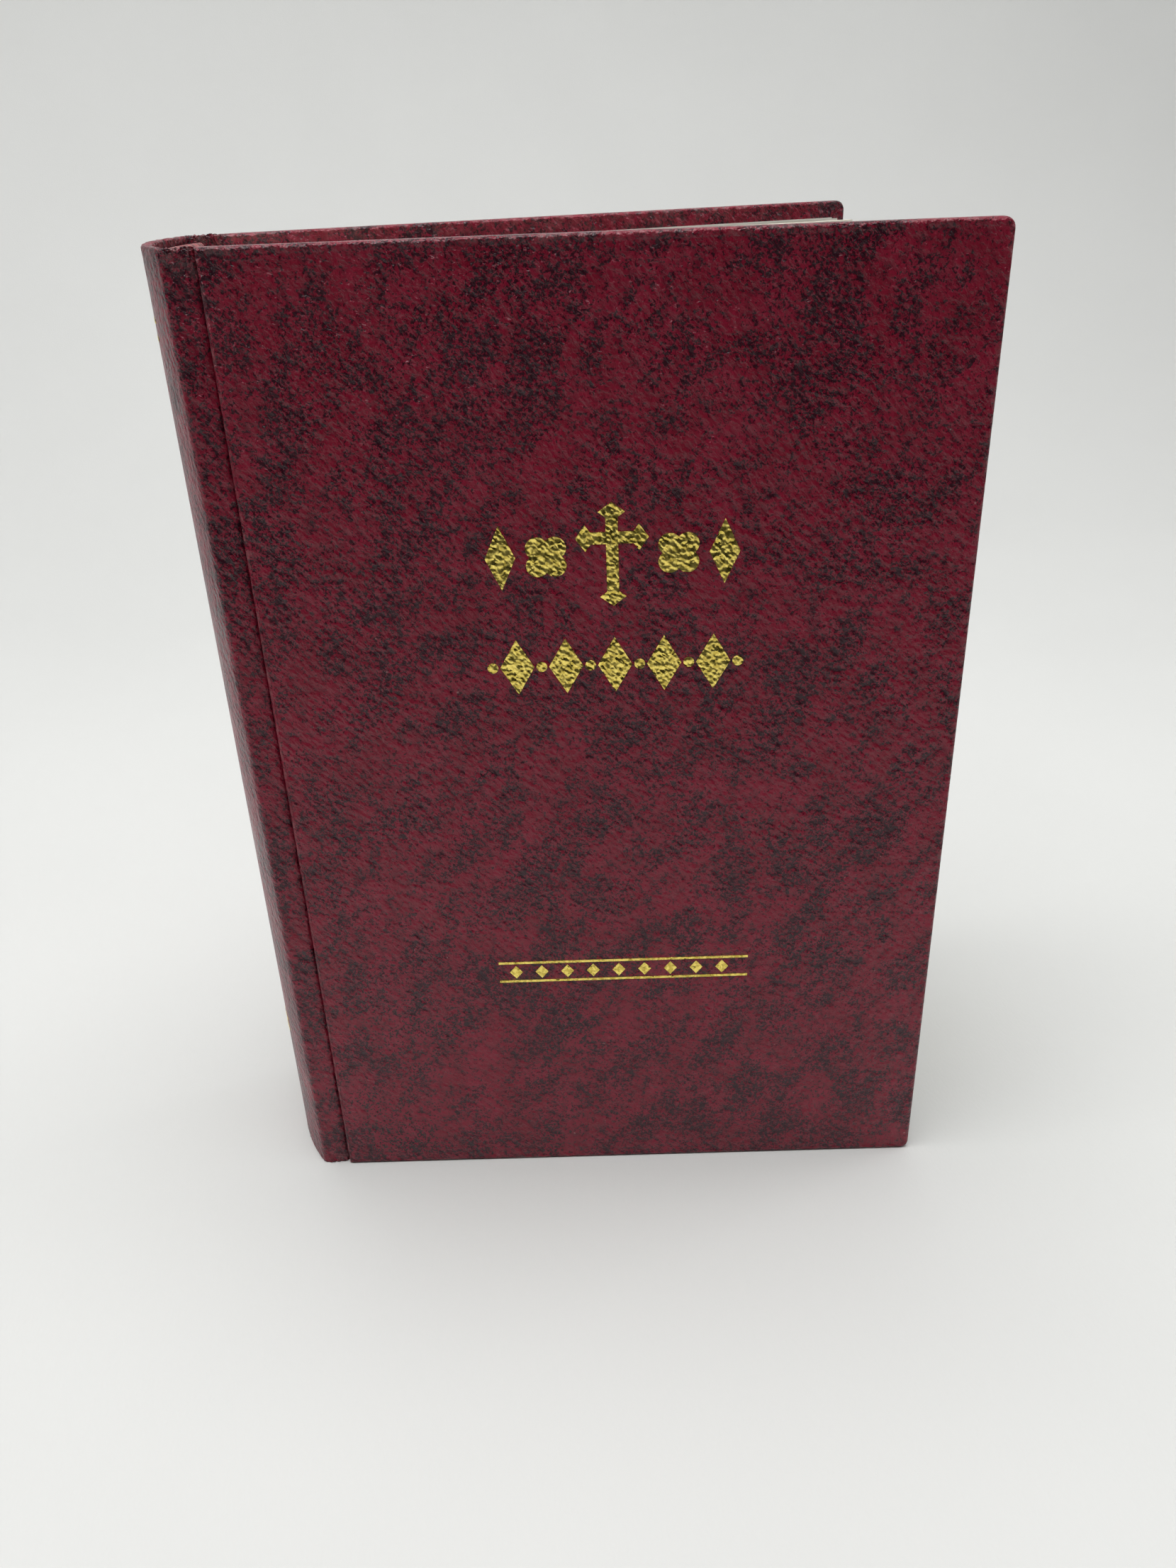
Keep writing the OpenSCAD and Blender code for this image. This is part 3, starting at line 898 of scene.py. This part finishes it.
def joint_cloth(name, shape):
    """The covering in a joint: level from the spine's shoulder, then pressed in beside the board."""
    _, crest, foot, under = joint_line(shape)
    corner = crest.lerp(foot, 0.7) + (crest - foot).project(Vector((0, 1, 0))) * 0.6
    outer = line(seam(shape), crest, 9)[:-1] + curve(crest, corner, foot, 5) + [under]
    inner = beside(outer, [2 * CLOTH_T] * len(outer))
    levels = rims(SPINE_LOW.z + JOINT_LIFT, SPINE_HIGH.z - JOINT_LIFT)
    obj = slab(name, outer, inner, levels, shape.rim_round)
    crumple(obj, shape.pucker, (outer[0].x, under.x), random.Random(shape.seed))
    mark(obj, "wear", rim_wear)
    smooth(obj, 50)
    return obj


def endpaper_hinge(name):
    """The fold of the endpaper, from behind the free endpaper across the joint to the pastedown."""
    fold = Vector((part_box("front_endpaper_hinge")[0].x + PAPER_T / 2, PASTE_HIGH.y + PAPER_T / 2, 0))
    board_edge = ajar(Vector((PASTE_LOW.x + 0.1 * MM, PASTE_HIGH.y - PAPER_T / 2, 0)))
    return strip(name, line(fold, board_edge, 10), SQUARE, SPINE_HIGH.z - SQUARE, PAPER_T)


class BIBLE_OT_spine(bpy.types.Operator):
    """Models the spine's covering and the cloth and paper in the joints"""

    bl_idname = "bible.spine"
    bl_label = "Spine and joints"

    def execute(self, context):
        shape, colours = context.scene.bible_shape, context.scene.bible_colours
        leather = bpy.data.materials["mottled_leatherette"]
        spine = dress(spine_cloth("spine_cloth_made", shape), leather)
        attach(spine, "text_block")
        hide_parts("spine_cloth")
        front = joint_cloth("front_joint_cloth_made", shape)
        start, end = seam(shape) + Vector((0.2 * MM, 0, 0)), joint_line(shape)[2]
        self.bend(front, "joint_cloth", leather, "leatherette", start, end)
        hinge = endpaper_hinge("front_endpaper_hinge_made")
        mark(hinge, "across", lambda place: place.y)
        low, high = box_of([v.co for v in hinge.data.vertices])
        self.bend(hinge, "endpaper_hinge", bpy.data.materials["endpaper_sheet"], "endpaper",
                  Vector((low.x, 0, 0)), Vector((high.x, 0, 0)))
        return {"FINISHED"}

    def bend(self, front, part, finish, slot, start, end):
        """Mirrors a piece into its twin for the back cover's side, gives both their material, fixes them in
        place and hides their nodes.
        """
        back = mirrored(front, f"back_{part}_made")
        for side, piece in (("front", front), ("back", back)):
            dress(piece, finish)
            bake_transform(piece)
            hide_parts(f"{side}_{part}")


# ---- Leaves ----


def bent(point, pivot, angle, width):
    """A point of a flat leaf, where the leaf curves out of the gutter past its turning line."""
    share = eased((point.x - pivot.x) / width)
    return about(pivot, -angle * share) @ point


def folio(name, fold_x, middle_y, gap, ends, heights, pivot, angle, shape):
    """One folded sheet of a section: out along one leaf, round the fold and back along the other."""
    turns = [pivot.x + shape.leaf_bend * i / 9 for i in range(10)] if angle else []
    leaves = []
    for way, end in zip((-1, 1), ends):
        xs = [fold_x + gap, *turns, end]
        leaves.append([bent(Vector((x, middle_y + way * gap, 0)), pivot, angle, shape.leaf_bend) for x in xs])
    centre = Vector((fold_x + gap, middle_y, 0))
    arc = []
    for i in range(1, 6):
        turn = math.pi * i / 6
        arc.append(centre + Vector((-math.sin(turn), -math.cos(turn), 0)) * gap)
    path = leaves[0][::-1] + arc + leaves[1]
    return strip(name, path, *heights, shape.sheet_t)


def section(name, fold_x, end_x, middle_y, pivot, angle, shape, dice):
    """A section of leaves: one folded sheet inside another, with slightly uneven edges."""
    folios = []
    rag = shape.raggedness
    for i, gap in enumerate((0.54 * shape.sheet_t, 1.58 * shape.sheet_t)):
        ends = [end_x + dice.uniform(-rag, rag) for _ in range(2)]
        heights = (SQUARE + dice.uniform(0, rag), SPINE_HIGH.z - SQUARE - dice.uniform(0, rag))
        folios.append(folio(f"{name}_{i}", fold_x, middle_y, gap, ends, heights, pivot, angle, shape))
    made = joined(name, folios)
    mark(made, "across", lambda place: bent(place, pivot, -angle, shape.leaf_bend).y)
    smooth(made, 30)
    return made


class BIBLE_OT_leaves(bpy.types.Operator):
    """Models the sections of leaves and the free endpapers"""

    bl_idname = "bible.leaves"
    bl_label = "Leaves"

    def execute(self, context):
        shape, colours = context.scene.bible_shape, context.scene.bible_colours
        leaf_paper = paper("leaf_sheets", colours.leaf, colours.leaf_edge, 0.15)
        dice = random.Random(shape.seed)
        count = len(SECTIONS)
        bodies = frame["record"]["behaviour"]["bodies"]
        models = []
        for name in FIXED:
            low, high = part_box(name)
            if len(models) < 4:
                model = section(f"{name}_leaves", low.x, high.x, (low.y + high.y) / 2, HINGE, 0, shape, dice)
                models.append((model, low.copy()))
                made = model
            else:
                model, model_low = models[dice.randrange(len(models))]
                move = Matrix.Translation((low.x - model_low.x, low.y - model_low.y, 0))
                made = placed(copied(model, f"{name}_leaves"), move)
            self.finish(made, name, leaf_paper)
            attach(made, "text_block")
        for k in (1, 2, 3):
            joint = f"front_leaves_{k}_turn"
            pivot = Vector(JOINTS[joint]["pos_m"])
            angle = SPLAY * SHARES[joint]
            for name in bodies[f"front_leaves_{k}"]:
                low, high = unturned_box(name, pivot, -angle)
                twin_name = f"section_{count + 1 - int(name[-2:]):02d}"
                front = section(f"{name}_leaves", high.x - SECTION_W, high.x, (low.y + high.y) / 2,
                                pivot, angle, shape, dice)
                back = mirrored(front, f"{twin_name}_leaves")
                for side, node_name, piece in (("front", name, front), ("back", twin_name, back)):
                    self.finish(piece, node_name, leaf_paper)
                    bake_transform(piece)
                    if name == SECTIONS[0]:
                        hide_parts(f"{side}_folds")
        self.flyleaves(shape)
        return {"FINISHED"}

    def finish(self, piece, node_name, leaf_paper):
        """Gives a section its paper and hides the node it stands for."""
        dress(piece, leaf_paper)
        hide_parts(node_name)

    def flyleaves(self, shape):
        """The free endpapers, each one sheet from its fold to the fore-edge."""
        joint = "front_flyleaf_turn"
        pivot = Vector(JOINTS[joint]["pos_m"])
        angle = SPLAY * SHARES[joint]
        low, high = unturned_box("front_flyleaf", pivot, -angle)
        level = (low.y + high.y) / 2
        xs = [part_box("front_endpaper_hinge")[0].x + PAPER_T]
        xs += [pivot.x + shape.leaf_bend * i / 12 for i in range(13)]
        xs += [pivot.x + (high.x - pivot.x) * share for share in (0.3, 0.6, 1.0)]
        path = [bent(Vector((x, level, 0)), pivot, angle, shape.leaf_bend) for x in xs]
        front = strip("front_flyleaf_made", path, SQUARE, SPINE_HIGH.z - SQUARE, PAPER_T)
        mark(front, "across", lambda place: bent(place, pivot, -angle, shape.leaf_bend).y)
        smooth(front, 30)
        for side, piece in (("front", front), ("back", mirrored(front, "back_flyleaf_made"))):
            dress(piece, bpy.data.materials["endpaper_sheet"])
            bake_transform(piece)
            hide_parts(f"{side}_flyleaf")


# ---- Headbands, gold and the linings ----


def band(name, node_name, up):
    """A headband: a bead wound with thread over the folds, on a skirt glued behind them."""
    low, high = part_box(node_name)
    bead_z = high.z - BEAD_R if up > 0 else low.z + BEAD_R
    path_r = SPINE_X - low.x - BEAD_R
    half = math.asin((high.y - BEAD_REST) / path_r)
    start = spine_point(path_r, half)
    begin()
    bpy.ops.mesh.primitive_circle_add(vertices=14, radius=BEAD_R, fill_type="NGON",
                                      location=(start.x, start.y, bead_z), rotation=(math.pi / 2, 0, half))
    bead = named(f"{name}_bead")
    bpy.ops.object.transform_apply(location=True, rotation=True, scale=True)
    edit(bead)
    bpy.ops.mesh.select_all(action="SELECT")
    steps = 128
    bpy.ops.mesh.spin(steps=steps, angle=2 * half, center=(SPINE_X, 0, bead_z), axis=(0, 0, 1))
    step = 2 * half / steps

    def on_ridge(vert):
        turn = math.atan2(-vert.co.y, SPINE_X - vert.co.x)
        return round((half - turn) / step) % 4 == 2

    choose(bead, "VERT", on_ridge)
    bpy.ops.transform.shrink_fatten(value=BEAD_RIDGE)
    begin()
    recalculate(bead)
    smooth(bead, 70)
    skirt_r = path_r + BEAD_R - SKIRT_IN
    skirt_half = math.asin(high.y / skirt_r)
    path = [spine_point(skirt_r, skirt_half - 2 * skirt_half * i / 60) for i in range(61)]
    ends = (low.z, bead_z) if up > 0 else (bead_z, high.z)
    skirt = strip(f"{name}_skirt", path, *ends, SKIRT_T)
    smooth(skirt, 40)
    return joined(name, [bead, skirt])


class BIBLE_OT_bands(bpy.types.Operator):
    """Models the headband and the tailband"""

    bl_idname = "bible.bands"
    bl_label = "Headbands"

    def execute(self, context):
        shape, colours = context.scene.bible_shape, context.scene.bible_colours
        silk = band_silk(colours, shape.wrap_pitch)
        for node_name, up in (("headband", 1), ("tailband", -1)):
            piece = dress(band(f"{node_name}_made", node_name, up), silk)
            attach(piece, "text_block")
            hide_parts(node_name)
        return {"FINISHED"}


class BIBLE_OT_gold(bpy.types.Operator):
    """Finishes the gold ornament on the front cover and the spine"""

    bl_idname = "bible.gold"
    bl_label = "Gold ornament"

    def execute(self, context):
        foil = gold_foil(context.scene.bible_colours)
        for name in ("front_cross_foil", "front_border_foil", "spine_foil"):
            dress(frame["nodes"][name], foil)
        return {"FINISHED"}


class BIBLE_OT_linings(bpy.types.Operator):
    """Finishes the pieces behind the spine: inlay, lining, mull and sewing thread"""

    bl_idname = "bible.linings"
    bl_label = "Spine linings"

    def execute(self, context):
        colours = context.scene.bible_colours
        finishes = {
            "spine_inlay": (bpy.data.materials["pressed_board"], "grey_board"),
            "spine_lining": (kraft_paper(colours), "kraft_paper"),
            "mull": (woven("mull_weave", colours.mull, 0.9 * MM), "mull"),
            "sewing_thread": (woven("linen_thread", colours.mull, 0.3 * MM), "mull"),
        }
        for name, (finish, slot) in finishes.items():
            dress(frame["nodes"][name], finish)
        return {"FINISHED"}


# ---- Stage ----


class BIBLE_OT_stage(bpy.types.Operator):
    """Sets the floor, the lights and the camera"""

    bl_idname = "bible.stage"
    bl_label = "Stage"

    def execute(self, context):
        studio = context.scene.bible_studio
        self.floor(context.scene.bible_colours)
        self.lights(context, studio)
        self.world(context, studio, context.scene.bible_colours)
        self.camera(context)
        return {"FINISHED"}

    def floor(self, colours):
        """A pale floor that sweeps up behind the book."""
        begin()
        bpy.ops.mesh.primitive_plane_add(size=1, location=(0, (FLOOR_FRONT + FLOOR_BACK) / 2, 0))
        floor = named("studio_floor")
        bpy.ops.transform.resize(value=(FLOOR_W, FLOOR_BACK - FLOOR_FRONT, 1))
        bpy.ops.object.transform_apply(location=True, rotation=True, scale=True)
        edit(floor)
        edge_y = max(v.co.y for v in bmesh.from_edit_mesh(floor.data).verts)
        choose(floor, "EDGE", lambda e: in_plane(e, 1, edge_y))
        bpy.ops.mesh.extrude_region_move(TRANSFORM_OT_translate={"value": (0, 0, FLOOR_RISE)})
        choose(floor, "EDGE", lambda e: in_plane(e, 1, edge_y) and in_plane(e, 2, 0))
        bpy.ops.mesh.bevel(offset=SWEEP_R, segments=16, affect="EDGES")
        begin()
        smooth(floor, 60)
        floor.data.materials.append(studio_cloth(colours))

    def lights(self, context, studio):
        """A wide soft light overhead and a weaker one at each side."""
        for name, power, size, place, aim in (
            ("key_light", studio.key_power, 1.2, (-0.1, -0.15, 1.4), (0, 0, 0)),
            ("right_light", studio.side_power, 0.5, (1.1, 0.1, 0.9), (0, 0, 0.1)),
            ("left_light", studio.side_power, 0.5, (-1.1, 0.1, 0.9), (0, 0, 0.1)),
        ):
            light = bpy.data.lights.new(name, "AREA")
            light.energy = power
            light.size = size
            holder = bpy.data.objects.new(name, light)
            holder.location = place
            holder.rotation_euler = (Vector(aim) - Vector(place)).to_track_quat("-Z", "Y").to_euler()
            context.scene.collection.objects.link(holder)

    def world(self, context, studio, colours):
        """Pale all round where it is seen; as light it comes mostly from behind the book."""
        world = bpy.data.worlds.new("studio")
        context.scene.world = world
        world.use_nodes = True
        tree = world.node_tree
        tree.nodes.clear()
        seen = node(tree, "ShaderNodeBackground", {"Color": colours.backdrop, "Strength": 1.0})
        way = node(tree, "ShaderNodeTexCoord").outputs["Generated"]
        behind = node(tree, "ShaderNodeSeparateXYZ", {0: way}).outputs[1]
        strength = ramp(tree, behind, -0.35, 0.6, 0.02, studio.ambient)
        dim = node(tree, "ShaderNodeBackground", {"Color": colours.daylight, "Strength": strength})
        looked_at = node(tree, "ShaderNodeLightPath").outputs["Is Camera Ray"]
        both = node(tree, "ShaderNodeMixShader", {0: looked_at, 1: dim.outputs[0], 2: seen.outputs[0]})
        node(tree, "ShaderNodeOutputWorld", {"Surface": both.outputs[0]})

    def camera(self, context):
        """A hand-held view from in front and above, towards the front cover."""
        lens = bpy.data.cameras.new("book_camera")
        lens.lens = LENS
        lens.sensor_width = 36
        lens.clip_start = 0.01
        camera = bpy.data.objects.new("book_camera", lens)
        heading, tilt, roll = (math.radians(angle) for angle in CAMERA_TURNS)
        turn = Matrix.Rotation(heading, 4, "Z") @ Matrix.Rotation(math.pi / 2 + tilt, 4, "X")
        turn = turn @ Matrix.Rotation(roll, 4, "Z")
        place = Vector((HINGE.x, 0, 0)) + Vector(CAMERA_PLACE) * MM
        camera.matrix_world = Matrix.Translation(place) @ turn
        context.scene.collection.objects.link(camera)
        context.scene.camera = camera
        context.scene.view_settings.view_transform = "Standard"


OPERATORS = (BIBLE_OT_covers, BIBLE_OT_spine, BIBLE_OT_leaves, BIBLE_OT_bands, BIBLE_OT_gold,
             BIBLE_OT_linings, BIBLE_OT_stage)
SETTINGS = (BibleShape, BibleColours, BibleStudio)


class BIBLE_PT_build(bpy.types.Panel):
    """Lists the steps and the settings"""

    bl_idname = "BIBLE_PT_build"
    bl_label = "Hardcover Bible"
    bl_space_type = "VIEW_3D"
    bl_region_type = "UI"
    bl_category = "Bible"

    def draw(self, context):
        for operator in OPERATORS:
            self.layout.operator(operator.bl_idname)
        scene = context.scene
        for settings in (scene.bible_shape, scene.bible_colours, scene.bible_studio):
            column = self.layout.column()
            for name in settings.bl_rna.properties.keys():
                if name not in ("rna_type", "name"):
                    column.prop(settings, name)


def register():
    for each in (*SETTINGS, *OPERATORS, BIBLE_PT_build):
        bpy.utils.register_class(each)
    bpy.types.Scene.bible_shape = PointerProperty(type=BibleShape)
    bpy.types.Scene.bible_colours = PointerProperty(type=BibleColours)
    bpy.types.Scene.bible_studio = PointerProperty(type=BibleStudio)


def unregister():
    del bpy.types.Scene.bible_shape
    del bpy.types.Scene.bible_colours
    del bpy.types.Scene.bible_studio
    for each in reversed((*SETTINGS, *OPERATORS, BIBLE_PT_build)):
        bpy.utils.unregister_class(each)


def main():
    """Builds every piece in order."""
    register()
    bpy.ops.bible.covers()
    bpy.ops.bible.spine()
    bpy.ops.bible.leaves()
    bpy.ops.bible.bands()
    bpy.ops.bible.gold()
    bpy.ops.bible.linings()
    bpy.ops.bible.stage()
    begin()


if __name__ == "__main__":
    main()
